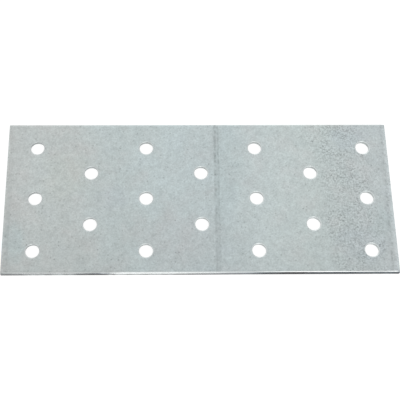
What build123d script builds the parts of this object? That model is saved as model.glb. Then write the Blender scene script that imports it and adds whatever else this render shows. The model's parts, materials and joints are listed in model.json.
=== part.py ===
from build123d import *
import os

# Mending plate: one flat blank of zinc-coated steel sheet, with staggered rows of nail holes.
# The origin is the middle of the underside. +X runs along the length, +Y across the width to
# the rear edge, and +Z up out of the face that the nail heads bear on. Sizes are in millimetres.

# The blank
plate_length = 140.0
plate_width = 58.0
sheet_thickness = 2.0

# The nail holes, on every other place of a grid, so that each row is staggered to the next
hole_diameter = 5.0
column_pitch = 20.0
row_pitch = 10.0
least_edge_distance = 7.5  # from the middle of a hole to the edge of the blank
pattern_shift_x = 0.8  # the pattern lies this far towards the right-hand end
pattern_shift_y = -0.65  # and this far towards the front edge

# Every cut comes down on the top face and leaves three bands in the thickness of the sheet:
# a rolled-over corner, a smooth burnished land, and below it a torn break that slants away.
land_height = 0.55
edge_rollover_depth = 0.3
side_rollover_width = 0.7  # on the two long edges, slit from the coil
end_rollover_width = 1.4  # on the two ends, where the crop shear draws the face down
edge_break_slant = 0.06  # how far the break has leaned in at the underside of the blank
hole_rollover_depth = 0.2
hole_rollover_width = 0.45
hole_break_slant = 0.25  # how far the break has opened out at the underside of a hole

overrun = sheet_thickness  # how far a cutting shape runs past the faces of the sheet


def cut_profile(reach, slant, rollover_width, rollover_depth, foot_depth=0.0):
    """The line of a cut, from its foot up the break and the land and over the rolled corner.

    It stands on the X axis at reach. A positive slant and width lean in towards X = 0, as on an
    outside edge, and negative ones lean out, as in a hole. A foot depth carries the break on
    below the sheet.
    """
    land_top = sheet_thickness - rollover_depth
    land_foot = land_top - land_height
    foot = reach - slant * (land_foot + foot_depth) / land_foot
    face_end = reach - rollover_width
    heading = (1, 0) if rollover_width > 0 else (-1, 0)
    line = Polyline((foot, -foot_depth), (reach, land_foot), (reach, land_top))
    return line + TangentArc((face_end, sheet_thickness), (reach, land_top), tangent=heading)


def blank_section(across, rollover_width):
    """The section of the blank between two opposite cut edges, upright on the X axis."""
    cut = cut_profile(across / 2, edge_break_slant, rollover_width, edge_rollover_depth)
    middle = Polyline(
        (across / 2 - edge_break_slant, 0),
        (0, 0),
        (0, sheet_thickness),
        (across / 2 - rollover_width, sheet_thickness),
    )
    right = make_face(cut + middle)
    return right + mirror(right, about=Plane.YZ)


def sheared_blank():
    """The blank: a strip with slit sides, which the two end cuts crop to length."""
    strip = extrude(Plane.YZ * blank_section(plate_width, side_rollover_width), plate_length, both=True)
    crop = extrude(Plane.XZ * blank_section(plate_length, end_rollover_width), plate_width, both=True)
    return strip & crop


def punched_opening():
    """The space that one punch stroke leaves, turned about the Z axis."""
    radius = hole_diameter / 2
    cut = cut_profile(
        radius, -hole_break_slant, -hole_rollover_width, hole_rollover_depth, foot_depth=overrun
    )
    mouth = radius + hole_rollover_width
    top = sheet_thickness + overrun
    middle = Polyline((mouth, sheet_thickness), (mouth, top), (0, top), (0, -overrun), cut @ 0)
    return revolve(Plane.XZ * make_face(cut + middle), Axis.Z)


def places_along(size, shift, pitch):
    """Evenly pitched places, as many as the edge distance leaves room for."""
    room = size - 2 * (least_edge_distance + abs(shift))
    steps = int(room // pitch)
    return [shift + pitch * (step - steps / 2) for step in range(steps + 1)]


def nail_hole_places():
    """The middles of the nail holes: every other place of the grid."""
    columns = places_along(plate_length, pattern_shift_x, column_pitch)
    rows = places_along(plate_width, pattern_shift_y, row_pitch)
    return [
        (x, y)
        for column, x in enumerate(columns)
        for row, y in enumerate(rows)
        if (column + row) % 2 == 0
    ]


opening = punched_opening()
mending_plate = sheared_blank() - [Pos(x, y) * opening for x, y in nail_hole_places()]
mending_plate.label = "mending_plate"

os.makedirs("parts", exist_ok=True)
export_step(mending_plate, "parts/mending_plate.step")
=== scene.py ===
import json
import math

import bmesh
import bpy
from mathutils import Matrix, Vector, noise


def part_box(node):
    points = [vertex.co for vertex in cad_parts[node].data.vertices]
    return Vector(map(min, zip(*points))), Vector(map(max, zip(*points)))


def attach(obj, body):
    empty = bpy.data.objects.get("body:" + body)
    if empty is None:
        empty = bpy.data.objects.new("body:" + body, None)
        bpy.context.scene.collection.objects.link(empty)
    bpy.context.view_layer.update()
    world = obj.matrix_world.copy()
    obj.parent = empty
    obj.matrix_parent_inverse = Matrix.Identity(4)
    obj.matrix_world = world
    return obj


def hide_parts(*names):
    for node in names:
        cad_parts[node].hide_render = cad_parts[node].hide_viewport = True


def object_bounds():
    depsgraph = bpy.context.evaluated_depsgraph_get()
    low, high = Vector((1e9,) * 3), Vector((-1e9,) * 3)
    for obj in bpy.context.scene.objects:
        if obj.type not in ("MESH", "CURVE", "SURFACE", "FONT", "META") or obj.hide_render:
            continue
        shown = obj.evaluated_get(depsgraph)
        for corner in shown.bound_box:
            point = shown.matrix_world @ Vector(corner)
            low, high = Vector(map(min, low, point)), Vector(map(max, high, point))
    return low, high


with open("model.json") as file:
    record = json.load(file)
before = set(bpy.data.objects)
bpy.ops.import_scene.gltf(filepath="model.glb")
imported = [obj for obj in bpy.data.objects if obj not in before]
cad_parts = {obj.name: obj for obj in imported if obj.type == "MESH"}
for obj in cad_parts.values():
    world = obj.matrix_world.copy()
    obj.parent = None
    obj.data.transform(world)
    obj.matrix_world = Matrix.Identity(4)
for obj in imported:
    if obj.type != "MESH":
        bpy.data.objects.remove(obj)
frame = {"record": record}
cadLow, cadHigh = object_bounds()
millimetre = 0.001  # every size in the dictionaries is in millimetres

plateLow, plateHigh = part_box("mending_plate")
plateMiddle = (plateLow + plateHigh) / 2 / millimetre
halfLength, halfWidth, _ = (plateHigh - plateLow) / 2 / millimetre
plateTop = plateHigh.z / millimetre
thickness = (plateHigh.z - plateLow.z) / millimetre


def linearColour(hexCode):
    # An sRGB hex colour as the linear values that Blender works in
    channels = [int(hexCode[i:i + 2], 16) / 255 for i in (1, 3, 5)]
    linear = [c / 12.92 if c <= 0.04045 else ((c + 0.055) / 1.055) ** 2.4 for c in channels]
    return (*linear, 1.0)


def addNode(tree, kind, inputs=None, **settings):
    # A node given as an input stands for its first output
    node = tree.nodes.new(kind)
    for name, value in settings.items():
        setattr(node, name, value)
    for key, value in (inputs or {}).items():
        source = value.outputs[0] if isinstance(value, bpy.types.Node) else value
        if isinstance(source, bpy.types.NodeSocket):
            tree.links.new(source, node.inputs[key])
        else:
            node.inputs[key].default_value = source
    return node


def setStops(ramp, stops):
    elements = ramp.color_ramp.elements
    while len(elements) < len(stops):
        elements.new(0.5)
    for element, (position, colour) in zip(elements, stops):
        element.position = position
        element.color = colour


def newMaterial(name):
    material = bpy.data.materials.new(name)
    material.use_nodes = True
    material.node_tree.nodes.clear()
    return material, material.node_tree


# Camera

camera = {
    "target": (-8.927, -0.763, 2.0),
    "distance": 324.93,
    "azimuth": -2.693,  # degrees, as are the next two
    "elevation": 67.528,
    "roll": 2.325,
    "lens": 81.05,
    "sensor": 36.0,
    "shiftX": 0.0635,  # shares of the sensor's width
    "shiftY": -0.0042,
    "nearest": 10.0,
    "furthest": 20000.0,
}


def buildCamera(values):
    azimuth = math.radians(values["azimuth"])
    elevation = math.radians(values["elevation"])
    roll = math.radians(values["roll"])
    back = Vector((math.sin(azimuth) * math.cos(elevation),
                   -math.cos(azimuth) * math.cos(elevation),
                   math.sin(elevation)))
    level = Vector((math.cos(azimuth), math.sin(azimuth), 0.0))
    right = math.cos(roll) * level + math.sin(roll) * back.cross(level)
    up = back.cross(right)
    data = bpy.data.cameras.new("camera")
    data.lens = values["lens"]
    data.sensor_width = values["sensor"]
    data.shift_x = values["shiftX"]
    data.shift_y = values["shiftY"]
    data.clip_start = values["nearest"] * millimetre
    data.clip_end = values["furthest"] * millimetre
    data.dof.use_dof = False
    made = bpy.data.objects.new("camera", data)
    turned = Matrix((right, up, back)).transposed().to_4x4()
    place = (Vector(values["target"]) + back * values["distance"]) * millimetre
    made.matrix_world = Matrix.Translation(place) @ turned
    bpy.context.scene.collection.objects.link(made)
    bpy.context.scene.camera = made


buildCamera(camera)
bpy.context.scene.view_settings.view_transform = "Standard"
print("camera placed")


# The plate: a blank slit and cropped from sheet, with its holes punched from above

plate = {
    "sideRolloverWidth": 0.7,  # rolled corner along the slit edges
    "endRolloverWidth": 1.4,  # and at the two cropped ends
    "edgeRolloverDepth": 0.3,
    "holeRolloverWidth": 0.45,
    "holeRolloverDepth": 0.2,
    "landHeight": 0.55,  # burnished by the blade before the steel tears
    "landWander": 0.14,  # how far the foot of the land wanders up and down
    "wanderWaves": (0.5, 1.7),  # long and short waves of that foot to the millimetre
    "shortWaveShare": 0.6,  # the short waves' height beside the long ones'
    "edgeBreakSlant": 0.06,  # how far the torn break leans in by the underside
    "holeBreakSlant": 0.25,
    "zincDrag": 0.05,  # how far the zinc dragged down each hole narrows its land
    "breakRoughness": 0.05,  # depth of the pits torn into the break
    "pits": (2.6, 2.2, 0.7),  # to the millimetre along the break and down it, and share of the depth
    "grit": (7.0, 6.0, 0.3),
    "cornerRadius": 0.04,  # where the rolled corner turns into the land
    "lipInset": 0.3,  # how far in that turn begins, as a share of its radius
    "cornerSteps": (0.0, 0.06, 0.2, 0.4, 0.65, 0.88),  # rows down that corner, as shares of its depth
    "rolledFrom": 0.1,  # share of the depth where the corner begins to look rolled
    "lipFrom": 0.5,  # and where it is as steep as the land
    "breakSteps": (0.12, 0.3, 0.5, 0.7, 0.88),  # rows down the break, as shares of its height
    "support": 0.15,  # a flat strip kept round every rolled corner
    "outlineStep": 0.4,
    "holeSteps": 84,
    "sharpAngle": 38.0,  # degrees between faces that still shade as one
}

# The order of the plate's material slots
slotOrder = ("skin", "holeCornerPaintedHighlight", "frontCornerPaintedHighlight", "frontLandPaintedLightAndShade", "break", "land", "holeBreak")

# The finish of each band of a cut. A band that isn't named keeps the skin of the sheet.
# The front edge has its own copies of the rolled corner and the land: a painted highlight along the
# corner, and painted highlight and painted shade along the land
frontFinishes = {"rolled": "frontCornerPaintedHighlight", "lip": "frontLandPaintedLightAndShade", "land": "frontLandPaintedLightAndShade", "ragged": "frontLandPaintedLightAndShade",
                 "torn": "break", "foot": "break"}
edgeFinishes = {"land": "land", "ragged": "land", "torn": "break", "foot": "break"}
# The holes' rolled corners are a little lighter than the skin: a painted highlight
holeFinishes = {"rolled": "holeCornerPaintedHighlight", "lip": "holeCornerPaintedHighlight", "land": "land", "ragged": "land",
                "torn": "holeBreak", "foot": "holeBreak"}


def cutSection(values, rolloverWidth, rolloverDepth, slant):
    # Rows from the flat face down to the underside: inset into the metal, depth below the face, band
    radius = (rolloverWidth ** 2 + rolloverDepth ** 2) / (2 * rolloverDepth)
    rows = [(rolloverWidth + values["support"], 0.0, "skin")]
    for part in values["cornerSteps"]:
        depth = rolloverDepth * part
        band = "skin"
        if part >= values["rolledFrom"]:
            band = "rolled"
        if part >= values["lipFrom"]:
            band = "lip"
        rows.append((rolloverWidth - math.sqrt(2 * radius * depth - depth ** 2), depth, band))
    corner = values["cornerRadius"]
    landTop = rolloverDepth + corner
    landFoot = rolloverDepth + values["landHeight"]
    rows.append((corner * values["lipInset"], rolloverDepth, "lip"))
    rows.append((0.0, landTop, "land"))
    rows.append((0.0, (landTop + landFoot) / 2, "land"))
    rows.append((0.0, landFoot, "ragged"))
    for part in values["breakSteps"]:
        rows.append((slant * part, landFoot + (thickness - landFoot) * part, "torn"))
    rows.append((slant, thickness, "foot"))
    rows.append((slant + values["support"] * 2, thickness, "under"))
    return rows


def outlinePoints(step):
    # Each point is a pair of shares of the half length and half width, so that rings mitre at the corners
    along, across = round(2 * halfLength / step), round(2 * halfWidth / step)
    points = [(-1 + 2 * i / along, -1.0) for i in range(along)]
    points += [(1.0, -1 + 2 * i / across) for i in range(across)]
    points += [(1 - 2 * i / along, 1.0) for i in range(along)]
    points += [(-1.0, 1 - 2 * i / across) for i in range(across)]
    return points


def roughen(values, inset, depth, band, x, y):
    # The foot of the land wanders up and down, and the break is pitted, always into the metal
    if band == "ragged":
        longWaves, shortWaves = values["wanderWaves"]  # 3.0 and 8.0 only pick two slices of the noise
        wander = noise.noise(Vector((x * longWaves, y * longWaves, 3.0)))
        wander += values["shortWaveShare"] * noise.noise(Vector((x * shortWaves, y * shortWaves, 8.0)))
        return inset, depth + values["landWander"] * wander
    if band == "torn":
        pitted = 0.0
        for along, down, share in (values["pits"], values["grit"]):
            pitted += share * (0.5 + 0.5 * noise.noise(Vector((x * along, y * along, depth * down))))
        return inset + values["breakRoughness"] * pitted, depth
    return inset, depth


def joinRings(mesh, rings, section, finishesAt):
    # Each ring is joined to the one below it, with the finish of the lower one's band
    for upper, lower, (_, _, band) in zip(rings, rings[1:], section[1:]):
        for i, finishes in enumerate(finishesAt):
            j = (i + 1) % len(upper)
            face = mesh.faces.new((upper[i], upper[j], lower[j], lower[i]))
            face.material_index = slotOrder.index(finishes.get(band, "skin"))
            face.smooth = True


def addBlank(mesh, values):
    slits = cutSection(values, values["sideRolloverWidth"],
                       values["edgeRolloverDepth"], values["edgeBreakSlant"])
    crops = cutSection(values, values["endRolloverWidth"],
                       values["edgeRolloverDepth"], values["edgeBreakSlant"])
    shares = outlinePoints(values["outlineStep"])
    rings = []
    for (sideInset, depth, band), (endInset, _, _) in zip(slits, crops):
        ring = []
        for shareX, shareY in shares:
            x, y = shareX * halfLength, shareY * halfWidth
            side, sunk = roughen(values, sideInset, depth, band, x, y)
            end, _ = roughen(values, endInset, depth, band, x, y)
            ring.append(mesh.verts.new((plateMiddle.x + shareX * (halfLength - end),
                                        plateMiddle.y + shareY * (halfWidth - side),
                                        plateTop - min(sunk, thickness))))
        rings.append(ring)
    finishesAt = [frontFinishes if shareY == -1.0 and nextY == -1.0 else edgeFinishes
                  for (_, shareY), (_, nextY) in zip(shares, shares[1:] + shares[:1])]
    joinRings(mesh, rings, slits, finishesAt)
    return rings[0], rings[-1]


def holeCentres(mounts):
    # The record gives the holes as bolt patterns of one, two or four holes round a middle
    centres = []
    for mount in mounts:
        if mount["kind"] != "bolt_pattern":
            continue
        size = mount["dims"]
        halfX = size.get("spacing_x_mm", 0.0) / 2
        halfY = size.get("spacing_y_mm", 0.0) / 2
        for signX in ((-1, 1) if halfX else (0,)):
            for signY in ((-1, 1) if halfY else (0,)):
                centres.append((mount["pos_m"][0] / millimetre + signX * halfX,
                                mount["pos_m"][1] / millimetre + signY * halfY,
                                size["hole_r_mm"]))
    return centres


def addHole(mesh, values, centreX, centreY, boreRadius):
    section = cutSection(values, values["holeRolloverWidth"], values["holeRolloverDepth"],
                         values["holeBreakSlant"] + values["zincDrag"])
    radius = boreRadius - values["zincDrag"]
    steps = values["holeSteps"]
    rings = []
    for inset, depth, band in section:
        ring = []
        for i in range(steps):
            angle = 2 * math.pi * i / steps
            x, y = centreX + radius * math.cos(angle), centreY + radius * math.sin(angle)
            away, sunk = roughen(values, inset, depth, band, x, y)
            ring.append(mesh.verts.new((centreX + (radius + away) * math.cos(angle),
                                        centreY + (radius + away) * math.sin(angle),
                                        plateTop - min(sunk, thickness))))
        rings.append(ring)
    joinRings(mesh, rings, section, [holeFinishes] * steps)
    return rings[0], rings[-1]


def buildPlate(values):
    mesh = bmesh.new()
    loops = [addBlank(mesh, values)]
    for centre in holeCentres(frame["record"]["mounts"]):
        loops.append(addHole(mesh, values, *centre))

    # The face and the underside, each filled round its holes
    for flatLoops in zip(*loops):
        edges = [mesh.edges.get((loop[i], loop[(i + 1) % len(loop)]))
                 for loop in flatLoops for i in range(len(loop))]
        filled = bmesh.ops.triangle_fill(mesh, edges=edges, use_beauty=True)
        for face in filled["geom"]:
            if isinstance(face, bmesh.types.BMFace):
                face.material_index = slotOrder.index("skin")
                face.smooth = True

    bmesh.ops.recalc_face_normals(mesh, faces=mesh.faces)
    bmesh.ops.scale(mesh, vec=(millimetre,) * 3, verts=mesh.verts)
    data = bpy.data.meshes.new("punched_plate")
    mesh.to_mesh(data)
    mesh.free()
    data.set_sharp_from_angle(angle=math.radians(values["sharpAngle"]))
    made = bpy.data.objects.new("punched_plate", data)
    bpy.context.scene.collection.objects.link(made)
    return made


punchedPlate = buildPlate(plate)
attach(punchedPlate, "root")
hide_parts("mending_plate")
print("plate built:", len(punchedPlate.data.polygons), "faces")


# The zinc skin

zinc = {
    # The soft cast of the coat from the left end to the right: place and colour
    "castAlongLength": (
        (-70.0, "#BABEBD"), (-60.0, "#BBC1C0"), (-46.0, "#BAC0BF"), (-28.0, "#B8C1C1"), (-8.0, "#BAC4C5"),
        (9.0, "#B7C0C1"), (24.0, "#BEC7C7"), (42.0, "#BDC6C5"), (56.0, "#BBC3C3"), (70.0, "#BDC4C5"),
    ),
    "castAcrossWidth": ((-29.0, 0.94), (-18.0, 0.965), (-6.0, 0.985), (6.0, 1.0)),  # darker towards the front
    "castStray": 12.0,  # how far the cast strays to and fro
    "castStraySize": 17.0,
    # Faint warm and cool patches: share of the noise and colour
    "patches": ((0.34, "#FFFDFD"), (0.45, "#FEFEFE"), (0.55, "#FDFEFE"), (0.68, "#FDFEFF")),
    "patchSize": 8.0,
    "cloudSize": 9.0,
    "cloudDepth": 0.028,
    # Faint local tints: middle, half sizes and colour
    "stains": (
        ((-66.5, -17.0), (5.0, 8.0), "#F9FEFF"),
        ((-49.0, 8.0), (9.0, 10.0), "#FFFFFD"),
        ((-31.0, -0.5), (6.0, 5.0), "#FCFCFE"),
        ((-8.0, -17.0), (15.0, 11.0), "#FFFCFC"),
        ((10.5, 10.0), (5.0, 22.0), "#FCFEFE"),
        ((57.0, -18.0), (8.0, 7.0), "#FCFCFE"),
        ((57.0, 24.0), (7.0, 6.0), "#FBFCFE"),
        ((64.0, -9.0), (5.0, 7.0), "#FBFEFE"),
    ),
    "stainFade": (0.5, 1.3),  # shares of the half sizes where a tint begins to fade and where it has gone
    "stainStray": 6.0,  # how ragged the tints' outlines are
    "stainStraySize": 6.25,
    "grainSize": 0.55,  # the roll's own grain is near 0.1 mm, too fine to show, so it is drawn this coarse
    "grainDepth": 0.12,
    "grainRange": (0.25, 0.75),  # the part of the noise that is drawn: the narrower, the harder its edges
    "mottleSize": 2.2,  # soft dapple left where the spangle was rolled flat
    "mottleDepth": 0.062,
    "speckSpacing": 1.25,
    "speckSize": (0.08, 0.34),  # shares of the spacing: a speck's dark middle and its faint rim
    "speckDepth": 0.29,
    "speckRarity": 2.0,  # the higher it is, the fewer specks are dark
    # The rubbed, speckled zone near the right-hand end: where it begins, is full, fades and has faded
    "rubbed": (41.0, 50.0, 60.0, 66.0),
    "rubbedAfter": 0.25,  # share of the rubbing that carries on to the end
    "rubbedStray": 0.7,  # how far the zone strays, as a share of the cast's stray
    "rubbedLean": 0.12,  # how far it leans to the left towards the rear
    "rubbedPatchSize": 5.0,
    "rubbedPatchRange": (0.35, 0.65),
    "rubbedPatches": (0.45, 1.55),  # strength of its weakest and its strongest patches
    "rubbedGrainSize": 0.7,
    "rubbedGrainRange": (0.36, 0.56),
    "rubbedDepth": (0.29, -0.05),  # darkness of its specks, and of the bright metal between them
    # Lines across the strip, dark, or light where the darkness is below nought: place at the front and at
    # the rear, half width, darkness at the front and at the rear, and how much of the line is missing
    "marks": (
        (5.9, 6.2, 0.8, 0.17, 0.28, 0.37),  # a dark line right across, with a fainter second line
        (6.85, 7.3, 0.55, 0.16, 0.24, 0.38),
        (-68.8, -68.9, 0.7, 0.19, 0.06, 0.44),  # dark lines just inside the two ends
        (-68.0, -68.2, 0.6, 0.17, 0.02, 0.4),
        (-70.1, -70.1, 1.2, -0.04, -0.1, 0.3),
        (67.7, 68.5, 0.6, 0.27, 0.22, 0.44),
        (66.9, 67.9, 0.9, 0.1, 0.07, 0.42),
        (70.1, 70.1, 1.7, -0.14, -0.14, 0.3),  # and a painted highlight along each rolled end
    ),
    "markCore": 0.2,  # share of the half width that is fully dark
    "markChange": 20.0,  # how far to each side of the middle a mark's darkness goes on changing
    "markStray": 0.7,
    "markStraySize": 1.8,
    "markGapSize": 1.1,
    "markGapFade": 0.2,
    # A dark line along the front edge, where its rolled corner begins: place, half width, darkness at the
    # left and the right
    "frontBendLine": (-28.15, 0.35, 0.08, 0.02),
    "frontBendLineChange": (-34.0, -22.0),  # where the first darkness gives way to the second
    "roughness": (0.38, 0.5),
    "bumpStrength": 0.5,
    "bumpHeight": 0.004,
}


noiseLow, noiseHigh = 0.3, 0.7  # nearly all that a noise gives lies between these


def placeOnPlate(tree):
    # In millimetres from the middle, so each pattern's scale is one over its size in millimetres
    origin = addNode(tree, "ShaderNodeTexCoord").outputs["Object"]
    place = addNode(tree, "ShaderNodeVectorMath", {0: origin, "Scale": 1 / millimetre}, operation="SCALE")
    axes = addNode(tree, "ShaderNodeSeparateXYZ", {0: place})
    return place, axes.outputs["X"], axes.outputs["Y"]


def softCasts(tree, place, along, across, stray, values):
    # The coat's broad casts, patches and tints, none with a straight edge
    strayed = addNode(tree, "ShaderNodeMath", {0: along, 1: stray}, operation="ADD")
    share = addNode(tree, "ShaderNodeMapRange",
                    {"Value": strayed, "From Min": -halfLength, "From Max": halfLength})
    cast = addNode(tree, "ShaderNodeValToRGB", {"Fac": share})
    setStops(cast, [((x + halfLength) / (2 * halfLength), linearColour(tone))
                    for x, tone in values["castAlongLength"]])

    patch = addNode(tree, "ShaderNodeTexNoise",
                    {"Vector": place, "Scale": 1 / values["patchSize"], "Detail": 3.0, "Roughness": 0.55})
    patchTint = addNode(tree, "ShaderNodeValToRGB", {"Fac": patch})
    setStops(patchTint, [(at, linearColour(tone)) for at, tone in values["patches"]])
    colour = addNode(tree, "ShaderNodeVectorMath", {0: cast, 1: patchTint}, operation="MULTIPLY")

    share = addNode(tree, "ShaderNodeMapRange",
                    {"Value": across, "From Min": -halfWidth, "From Max": halfWidth})
    darkerToFront = addNode(tree, "ShaderNodeValToRGB", {"Fac": share})
    setStops(darkerToFront, [((y + halfWidth) / (2 * halfWidth), (level, level, level, 1.0))
                      for y, level in values["castAcrossWidth"]])
    colour = addNode(tree, "ShaderNodeVectorMath", {0: colour, 1: darkerToFront}, operation="MULTIPLY")

    cloud = addNode(tree, "ShaderNodeTexNoise",
                    {"Vector": place, "Scale": 1 / values["cloudSize"], "Detail": 2.0, "Roughness": 0.6})
    cloud = addNode(tree, "ShaderNodeMapRange",
                    {"Value": cloud, "From Min": noiseLow, "From Max": noiseHigh,
                     "To Min": 1 - values["cloudDepth"], "To Max": 1 + values["cloudDepth"]})
    colour = addNode(tree, "ShaderNodeVectorMath", {0: colour, "Scale": cloud}, operation="SCALE")

    warp = addNode(tree, "ShaderNodeTexNoise",
                   {"Vector": place, "Scale": 1 / values["stainStraySize"],
                    "Detail": 4.0, "Roughness": 0.65})
    warp = addNode(tree, "ShaderNodeVectorMath",
                   {0: warp.outputs["Color"], 1: (0.5, 0.5, 0.5)}, operation="SUBTRACT")
    warp = addNode(tree, "ShaderNodeVectorMath",
                   {0: warp, "Scale": values["stainStray"] * 2}, operation="SCALE")
    warped = addNode(tree, "ShaderNodeVectorMath", {0: place, 1: warp}, operation="ADD")
    fadeFrom, fadeTo = values["stainFade"]
    anyHeight = 100.0  # so large that a tint reaches through the whole thickness
    for (x, y), (halfX, halfY), tone in values["stains"]:
        away = addNode(tree, "ShaderNodeVectorMath", {0: warped, 1: (x, y, 0.0)}, operation="SUBTRACT")
        away = addNode(tree, "ShaderNodeVectorMath", {0: away, 1: (halfX, halfY, anyHeight)},
                       operation="DIVIDE")
        away = addNode(tree, "ShaderNodeVectorMath", {0: away}, operation="LENGTH").outputs["Value"]
        share = addNode(tree, "ShaderNodeMapRange",
                        {"Value": away, "From Min": fadeFrom, "From Max": fadeTo,
                         "To Min": 1.0, "To Max": 0.0},
                        interpolation_type="SMOOTHSTEP")
        colour = addNode(tree, "ShaderNodeMixRGB",
                         {"Fac": share, "Color1": colour, "Color2": linearColour(tone)},
                         blend_type="MULTIPLY")
    return colour


def rolledGrain(tree, place, values):
    # Grain, mottle and specks of the rolled coat, as a level to darken its colour by
    grain = addNode(tree, "ShaderNodeTexNoise",
                    {"Vector": place, "Scale": 1 / values["grainSize"], "Detail": 2.0, "Roughness": 0.6})
    lowest, highest = values["grainRange"]
    level = addNode(tree, "ShaderNodeMapRange",
                    {"Value": grain, "From Min": lowest, "From Max": highest,
                     "To Min": 1 - values["grainDepth"], "To Max": 1 + values["grainDepth"]})
    mottle = addNode(tree, "ShaderNodeTexNoise",
                     {"Vector": place, "Scale": 1 / values["mottleSize"], "Detail": 3.0, "Roughness": 0.6})
    dapple = addNode(tree, "ShaderNodeMapRange",
                     {"Value": mottle, "From Min": noiseLow, "From Max": noiseHigh,
                      "To Min": 1 - values["mottleDepth"], "To Max": 1 + values["mottleDepth"]})
    level = addNode(tree, "ShaderNodeMath", {0: level, 1: dapple}, operation="MULTIPLY")

    core, rim = values["speckSize"]
    cells = addNode(tree, "ShaderNodeTexVoronoi",
                    {"Vector": place, "Scale": 1 / values["speckSpacing"], "Randomness": 1.0})
    speck = addNode(tree, "ShaderNodeMapRange",
                    {"Value": cells.outputs["Distance"], "From Min": core, "From Max": rim,
                     "To Min": values["speckDepth"], "To Max": 0.0},
                    interpolation_type="SMOOTHSTEP")
    chance = addNode(tree, "ShaderNodeSeparateColor", {0: cells.outputs["Color"]})
    chance = addNode(tree, "ShaderNodeMath", {0: chance, 1: values["speckRarity"]}, operation="POWER")
    speck = addNode(tree, "ShaderNodeMath", {0: speck, 1: chance}, operation="MULTIPLY")
    level = addNode(tree, "ShaderNodeMath", {0: level, 1: speck}, operation="SUBTRACT")
    return level, mottle


def rubbedZone(tree, place, along, across, stray, values):
    # Darkness of the zone that rubbed against other sheets
    begins, full, fades, faded = values["rubbed"]
    drift = addNode(tree, "ShaderNodeMath",
                    {0: stray, 1: values["rubbedStray"], 2: along}, operation="MULTIPLY_ADD")
    drift = addNode(tree, "ShaderNodeMath",
                    {0: across, 1: values["rubbedLean"], 2: drift}, operation="MULTIPLY_ADD")
    rising = addNode(tree, "ShaderNodeMapRange",
                     {"Value": drift, "From Min": begins, "From Max": full},
                     interpolation_type="SMOOTHSTEP")
    falling = addNode(tree, "ShaderNodeMapRange",
                      {"Value": drift, "From Min": fades, "From Max": faded,
                       "To Min": 1.0, "To Max": values["rubbedAfter"]},
                      interpolation_type="SMOOTHSTEP")
    strength = addNode(tree, "ShaderNodeMath", {0: rising, 1: falling}, operation="MULTIPLY")

    lowest, highest = values["rubbedPatchRange"]
    weakest, strongest = values["rubbedPatches"]
    uneven = addNode(tree, "ShaderNodeTexNoise",
                     {"Vector": place, "Scale": 1 / values["rubbedPatchSize"],
                      "Detail": 3.0, "Roughness": 0.6})
    uneven = addNode(tree, "ShaderNodeMapRange",
                     {"Value": uneven, "From Min": lowest, "From Max": highest,
                      "To Min": weakest, "To Max": strongest})
    strength = addNode(tree, "ShaderNodeMath", {0: strength, 1: uneven}, operation="MULTIPLY")

    lowest, highest = values["rubbedGrainRange"]
    dark, bright = values["rubbedDepth"]
    rub = addNode(tree, "ShaderNodeTexNoise",
                  {"Vector": place, "Scale": 1 / values["rubbedGrainSize"],
                   "Detail": 3.0, "Roughness": 0.75})
    rub = addNode(tree, "ShaderNodeMapRange",
                  {"Value": rub, "From Min": lowest, "From Max": highest,
                   "To Min": dark, "To Max": bright})
    return addNode(tree, "ShaderNodeMath", {0: rub, 1: strength}, operation="MULTIPLY")


def linesAndEndHighlights(tree, place, along, across, darkness, values):
    # The dark lines across the strip, the painted highlights along the two rolled ends and the dark line
    # along the front edge, added to the darkness so far
    ripple = addNode(tree, "ShaderNodeTexNoise",
                     {"Vector": place, "Scale": 1 / values["markStraySize"],
                      "Detail": 3.0, "Roughness": 0.7})
    ripple = addNode(tree, "ShaderNodeMath",
                     {0: ripple, 1: values["markStray"] * 2, 2: -values["markStray"]},
                     operation="MULTIPLY_ADD")
    wobbled = addNode(tree, "ShaderNodeMath", {0: along, 1: ripple}, operation="ADD")
    broken = addNode(tree, "ShaderNodeTexNoise",
                     {"Vector": place, "Scale": 1 / values["markGapSize"],
                      "Detail": 2.0, "Roughness": 0.6})
    change = values["markChange"]
    for frontPlace, rearPlace, width, frontDepth, rearDepth, gaps in values["marks"]:
        middle = addNode(tree, "ShaderNodeMapRange",
                         {"Value": across, "From Min": -halfWidth, "From Max": halfWidth,
                          "To Min": frontPlace, "To Max": rearPlace})
        depth = addNode(tree, "ShaderNodeMapRange",
                        {"Value": across, "From Min": -change, "From Max": change,
                         "To Min": frontDepth, "To Max": rearDepth})
        away = addNode(tree, "ShaderNodeMath", {0: wobbled, 1: middle}, operation="SUBTRACT")
        away = addNode(tree, "ShaderNodeMath", {0: away}, operation="ABSOLUTE")
        line = addNode(tree, "ShaderNodeMapRange",
                       {"Value": away, "From Min": width * values["markCore"], "From Max": width,
                        "To Min": depth, "To Max": 0.0},
                       interpolation_type="SMOOTHSTEP")
        present = addNode(tree, "ShaderNodeMapRange",
                          {"Value": broken, "From Min": gaps, "From Max": gaps + values["markGapFade"]},
                          interpolation_type="SMOOTHSTEP")
        darkness = addNode(tree, "ShaderNodeMath",
                           {0: line, 1: present, 2: darkness}, operation="MULTIPLY_ADD")

    linePlace, lineWidth, leftDepth, rightDepth = values["frontBendLine"]
    changeFrom, changeTo = values["frontBendLineChange"]
    depth = addNode(tree, "ShaderNodeMapRange",
                    {"Value": along, "From Min": changeFrom, "From Max": changeTo,
                     "To Min": leftDepth, "To Max": rightDepth})
    away = addNode(tree, "ShaderNodeMath", {0: across, 1: linePlace}, operation="SUBTRACT")
    away = addNode(tree, "ShaderNodeMath", {0: away}, operation="ABSOLUTE")
    line = addNode(tree, "ShaderNodeMapRange",
                   {"Value": away, "From Min": 0.0, "From Max": lineWidth, "To Min": depth, "To Max": 0.0},
                   interpolation_type="SMOOTHSTEP")
    return addNode(tree, "ShaderNodeMath", {0: darkness, 1: line}, operation="ADD")


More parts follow.
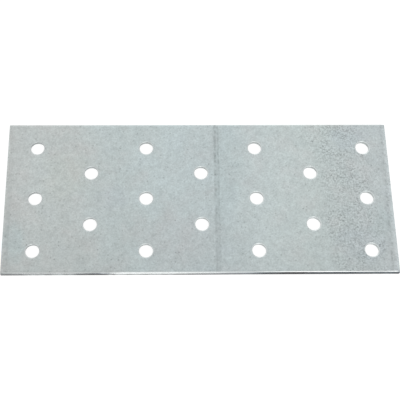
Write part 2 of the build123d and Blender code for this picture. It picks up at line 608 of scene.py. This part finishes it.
def galvanisedSkinPassed(values):
    # Hot-dip zinc flattened by a skin-pass roll: dull satin, a fine mottle and soft casts, no spangle
    material, tree = newMaterial("galvanised_steel_skin_passed")
    place, along, across = placeOnPlate(tree)
    stray = addNode(tree, "ShaderNodeTexNoise",
                    {"Vector": place, "Scale": 1 / values["castStraySize"],
                     "Detail": 3.0, "Roughness": 0.6})
    stray = addNode(tree, "ShaderNodeMath",
                    {0: stray, 1: values["castStray"] * 2, 2: -values["castStray"]},
                    operation="MULTIPLY_ADD")
    colour = softCasts(tree, place, along, across, stray, values)
    level, mottle = rolledGrain(tree, place, values)
    darkness = rubbedZone(tree, place, along, across, stray, values)
    darkness = linesAndEndHighlights(tree, place, along, across, darkness, values)
    level = addNode(tree, "ShaderNodeMath", {0: level, 1: darkness}, operation="SUBTRACT")
    colour = addNode(tree, "ShaderNodeVectorMath", {0: colour, "Scale": level}, operation="SCALE")

    smoothest, roughest = values["roughness"]
    gloss = addNode(tree, "ShaderNodeMapRange",
                    {"Value": mottle, "From Min": noiseLow, "From Max": noiseHigh,
                     "To Min": smoothest, "To Max": roughest})
    relief = addNode(tree, "ShaderNodeBump",
                     {"Height": level, "Strength": values["bumpStrength"],
                      "Distance": values["bumpHeight"] * millimetre})
    shader = addNode(tree, "ShaderNodeBsdfPrincipled",
                     {"Base Color": colour, "Metallic": 1.0, "Roughness": gloss, "Normal": relief})
    addNode(tree, "ShaderNodeOutputMaterial", {"Surface": shader})
    return material


# The cut edges, whose tones change along the plate from end to end

cutEdges = {
    "stray": 4.5,  # how far the tones stray to and fro
    "straySize": 2.5,
    "blotchSize": 2.5,  # bare and wiped patches
    "blotchRange": (0.35, 0.65),
    "bumpStrength": 0.5,
    "bumpHeight": 0.02,

    # In each finish, tones go by the place along the plate, and the lower streakSqueeze is, the further
    # the streaks are drawn out down the cut. Real ones are finer than 0.1 mm, so they are drawn coarser.

    # Zinc pressed over by the punch: as dull as the skin, and a little lighter, which is a painted
    # highlight on the holes' rolled corners
    "holeCornerPaintedHighlight": {
        "name": "galvanised_steel_pressed_corner_painted_highlight",
        "tones": ((-70.0, "#BCC0C0"), (-20.0, "#C4CACA"), (20.0, "#CAD0D0"), (70.0, "#CCD2D2")),
        "roughness": (0.3, 0.4),
        "streakSize": 0.5,
        "streakSqueeze": 1.0,
        "streakDepth": 0.06,
        "blotchDepth": 0.03,
    },
    # Zinc rolled over by the slitting blades, on the front edge only: its bright stretches along the plate
    # are a painted highlight
    "frontCornerPaintedHighlight": {
        "name": "galvanised_steel_rolled_corner_painted_highlight",
        "tones": (
            (-70.0, "#BCC0C0"), (-32.0, "#BCC0C0"), (-26.0, "#D4D8D8"), (2.0, "#D4D8D8"),
            (14.0, "#CCD0D0"), (20.0, "#CCD0D0"), (28.0, "#F0F4F4"), (36.0, "#FFFFFF"),
            (50.0, "#FAFCFC"), (60.0, "#E4E6E6"), (64.0, "#DCDEDE"), (68.0, "#F8FAFA"),
            (70.0, "#F8FAFA"),
        ),
        "roughness": (0.3, 0.4),
        "streakSize": 0.5,
        "streakSqueeze": 1.0,
        "streakDepth": 0.05,
        "blotchDepth": 0.03,
    },
    # Steel rubbed smooth by the blade, glossy, with fine upright lines, on the front edge only: its light
    # and dark stretches along the plate are painted highlight and painted shade
    "frontLandPaintedLightAndShade": {
        "name": "sheared_steel_burnished_land_painted_light_and_shade",
        "tones": (
            (-70.0, "#949898"), (-63.0, "#A8ACAC"), (-54.0, "#AEB2B2"), (-46.0, "#B0B4B4"),
            (-38.0, "#6C7072"), (-34.0, "#80868A"), (-30.5, "#CCD0D0"), (-10.0, "#C6CACA"),
            (-1.0, "#B0B4B4"), (8.0, "#989C9E"), (17.0, "#80868A"), (22.0, "#464E52"),
            (30.0, "#101418"), (35.0, "#14181C"), (42.0, "#343C42"), (51.0, "#2C343A"),
            (59.0, "#50585C"), (70.0, "#4C5458"),
        ),
        "roughness": (0.22, 0.34),
        "streakSize": 0.18,
        "streakSqueeze": 0.15,
        "streakDepth": 0.12,
        "blotchDepth": 0.08,
    },
    # Steel torn apart below the land: rough, dull and dark, lighter and darker in stretches along the
    # plate
    "break": {
        "name": "sheared_steel_torn_break",
        "tones": (
            (-70.0, "#14181C"), (-64.0, "#2C3034"), (-56.0, "#A4AAAA"), (-46.0, "#989E9E"),
            (-42.0, "#24282C"), (-38.0, "#101418"), (-34.0, "#1A1E22"), (-29.5, "#B0B4B4"),
            (-18.0, "#8C9090"), (-10.0, "#84888A"), (-4.0, "#34383C"), (4.0, "#484E52"),
            (16.0, "#64696C"), (22.0, "#2C343A"), (30.0, "#0C1014"), (36.0, "#101418"),
            (42.0, "#343C42"), (51.0, "#20262C"), (59.0, "#50585C"), (70.0, "#4C5458"),
        ),
        "roughness": (0.5, 0.7),
        "streakSize": 0.35,
        "streakSqueeze": 0.6,
        "streakDepth": 0.35,
        "blotchDepth": 0.6,
    },
    # Steel and dragged zinc rubbed smooth by the punch: glossy and nearly as light as the skin
    "land": {
        "name": "punched_steel_burnished_land",
        "tones": ((-70.0, "#989E9E"), (-10.0, "#A2A8A8"), (70.0, "#AAB0B0")),
        "roughness": (0.22, 0.34),
        "streakSize": 0.18,
        "streakSqueeze": 0.15,
        "streakDepth": 0.1,
        "blotchDepth": 0.08,
    },
    # Steel torn out by the punch: rough, and lighter than the edges' break
    "holeBreak": {
        "name": "punched_steel_torn_break",
        "tones": ((-70.0, "#989E9E"), (-10.0, "#ACB2B2"), (70.0, "#BAC0C0")),
        "roughness": (0.5, 0.7),
        "streakSize": 0.35,
        "streakSqueeze": 0.6,
        "streakDepth": 0.15,
        "blotchDepth": 0.1,
    },
}


def cutSteel(finish, values):
    # One band of the cuts, as its finish says
    material, tree = newMaterial(finish["name"])
    place, along, _ = placeOnPlate(tree)
    stray = addNode(tree, "ShaderNodeTexNoise",
                    {"Vector": place, "Scale": 1 / values["straySize"], "Detail": 3.0, "Roughness": 0.7})
    stray = addNode(tree, "ShaderNodeMath",
                    {0: stray, 1: values["stray"] * 2, 2: -values["stray"]}, operation="MULTIPLY_ADD")
    strayed = addNode(tree, "ShaderNodeMath", {0: along, 1: stray}, operation="ADD")
    share = addNode(tree, "ShaderNodeMapRange",
                    {"Value": strayed, "From Min": -halfLength, "From Max": halfLength})
    tone = addNode(tree, "ShaderNodeValToRGB", {"Fac": share})
    setStops(tone, [((x + halfLength) / (2 * halfLength), linearColour(colour))
                    for x, colour in finish["tones"]])

    # Streaks run down the cut, blotches lie anywhere on it
    squeezed = addNode(tree, "ShaderNodeVectorMath",
                       {0: place, 1: (1.0, 1.0, finish["streakSqueeze"])}, operation="MULTIPLY")
    streak = addNode(tree, "ShaderNodeTexNoise",
                     {"Vector": squeezed, "Scale": 1 / finish["streakSize"],
                      "Detail": 3.0, "Roughness": 0.65})
    level = addNode(tree, "ShaderNodeMapRange",
                    {"Value": streak, "From Min": noiseLow, "From Max": noiseHigh,
                     "To Min": 1 - finish["streakDepth"], "To Max": 1 + finish["streakDepth"]})
    blotch = addNode(tree, "ShaderNodeTexNoise",
                     {"Vector": place, "Scale": 1 / values["blotchSize"], "Detail": 2.0, "Roughness": 0.6})
    lowest, highest = values["blotchRange"]
    blotch = addNode(tree, "ShaderNodeMapRange",
                     {"Value": blotch, "From Min": lowest, "From Max": highest,
                      "To Min": 1 - finish["blotchDepth"], "To Max": 1 + finish["blotchDepth"]})
    level = addNode(tree, "ShaderNodeMath", {0: level, 1: blotch}, operation="MULTIPLY")
    colour = addNode(tree, "ShaderNodeVectorMath", {0: tone, "Scale": level}, operation="SCALE")

    smoothest, roughest = finish["roughness"]
    gloss = addNode(tree, "ShaderNodeMapRange",
                    {"Value": streak, "From Min": noiseLow, "From Max": noiseHigh,
                     "To Min": smoothest, "To Max": roughest})
    relief = addNode(tree, "ShaderNodeBump",
                     {"Height": streak, "Strength": values["bumpStrength"],
                      "Distance": values["bumpHeight"] * millimetre})
    shader = addNode(tree, "ShaderNodeBsdfPrincipled",
                     {"Base Color": colour, "Metallic": 1.0, "Roughness": gloss, "Normal": relief})
    addNode(tree, "ShaderNodeOutputMaterial", {"Surface": shader})
    return material


for slot in slotOrder:
    material = galvanisedSkinPassed(zinc) if slot == "skin" else cutSteel(cutEdges[slot], cutEdges)
    punchedPlate.data.materials.append(material)
print("materials made")


# Studio

studio = {
    "floorSide": 3000.0,
    "floorGap": 0.02,  # keeps the floor just clear of the underside
    "floorColour": "#F6F7F7",
    "seenStrength": 0.86,  # how much of the floor's white is its own, as seen or mirrored
    "shadeShare": 0.3,  # how much of its white is lit, and so can be shaded
    "skyStrength": 0.85,  # how brightly the white sky lights the plate
    # Square lamps that face the plate: name, place, side, and brightness of the face beside a white of 1
    "lamps": (
        ("front", (260.0, -950.0, 560.0), 750.0, 1.5),
        ("rear", (0.0, 1000.0, 560.0), 700.0, 0.7),
    ),
}


def seenOrMirrored(tree):
    # 1 where the camera sees the surface itself, or in metal or through glass
    path = addNode(tree, "ShaderNodeLightPath")
    seen = addNode(tree, "ShaderNodeMath",
                   {0: path.outputs["Is Camera Ray"], 1: path.outputs["Is Glossy Ray"]},
                   operation="MAXIMUM")
    return addNode(tree, "ShaderNodeMath",
                   {0: seen, 1: path.outputs["Is Transmission Ray"]}, operation="MAXIMUM")


def whitePaper(values):
    # Matt white paper with no sheen, bright enough to end in plain white while it keeps a soft shadow
    material, tree = newMaterial("white_paper_matt")
    lit = addNode(tree, "ShaderNodeBsdfDiffuse", {"Color": linearColour(values["floorColour"])})
    glow = addNode(tree, "ShaderNodeEmission", {"Color": (1, 1, 1, 1), "Strength": values["seenStrength"]})
    dimmed = addNode(tree, "ShaderNodeMixShader", {0: values["shadeShare"], 2: lit})
    both = addNode(tree, "ShaderNodeAddShader", {0: dimmed, 1: glow})
    shown = addNode(tree, "ShaderNodeMixShader", {0: seenOrMirrored(tree), 1: lit, 2: both})
    addNode(tree, "ShaderNodeOutputMaterial", {"Surface": shown})
    return material


def buildFloor(values):
    side = values["floorSide"] / 2 * millimetre
    height = cadLow.z - values["floorGap"] * millimetre
    mesh = bmesh.new()
    mesh.faces.new([mesh.verts.new((x * side, y * side, height))
                    for x, y in ((-1, -1), (1, -1), (1, 1), (-1, 1))])
    data = bpy.data.meshes.new("floor")
    mesh.to_mesh(data)
    mesh.free()
    data.materials.append(whitePaper(values))
    floor = bpy.data.objects.new("floor", data)
    bpy.context.scene.collection.objects.link(floor)


def lightStudio(values):
    world = bpy.data.worlds.new("studio")
    world.use_nodes = True
    tree = world.node_tree
    tree.nodes.clear()
    strength = addNode(tree, "ShaderNodeMapRange",
                       {"Value": seenOrMirrored(tree), "To Min": values["skyStrength"], "To Max": 1.0})
    sky = addNode(tree, "ShaderNodeBackground", {"Color": (1, 1, 1, 1), "Strength": strength})
    addNode(tree, "ShaderNodeOutputWorld", {"Surface": sky})
    bpy.context.scene.world = world

    for name, place, side, brightness in values["lamps"]:
        lamp = bpy.data.lights.new(name, "AREA")
        lamp.shape = "SQUARE"
        lamp.size = side * millimetre
        lamp.energy = brightness * math.pi * lamp.size ** 2  # watts for a face of that brightness
        made = bpy.data.objects.new(name, lamp)
        made.location = Vector(place) * millimetre
        made.rotation_mode = "QUATERNION"
        made.rotation_quaternion = made.location.to_track_quat("Z", "Y")
        bpy.context.scene.collection.objects.link(made)


buildFloor(studio)
lightStudio(studio)
print("studio lit")
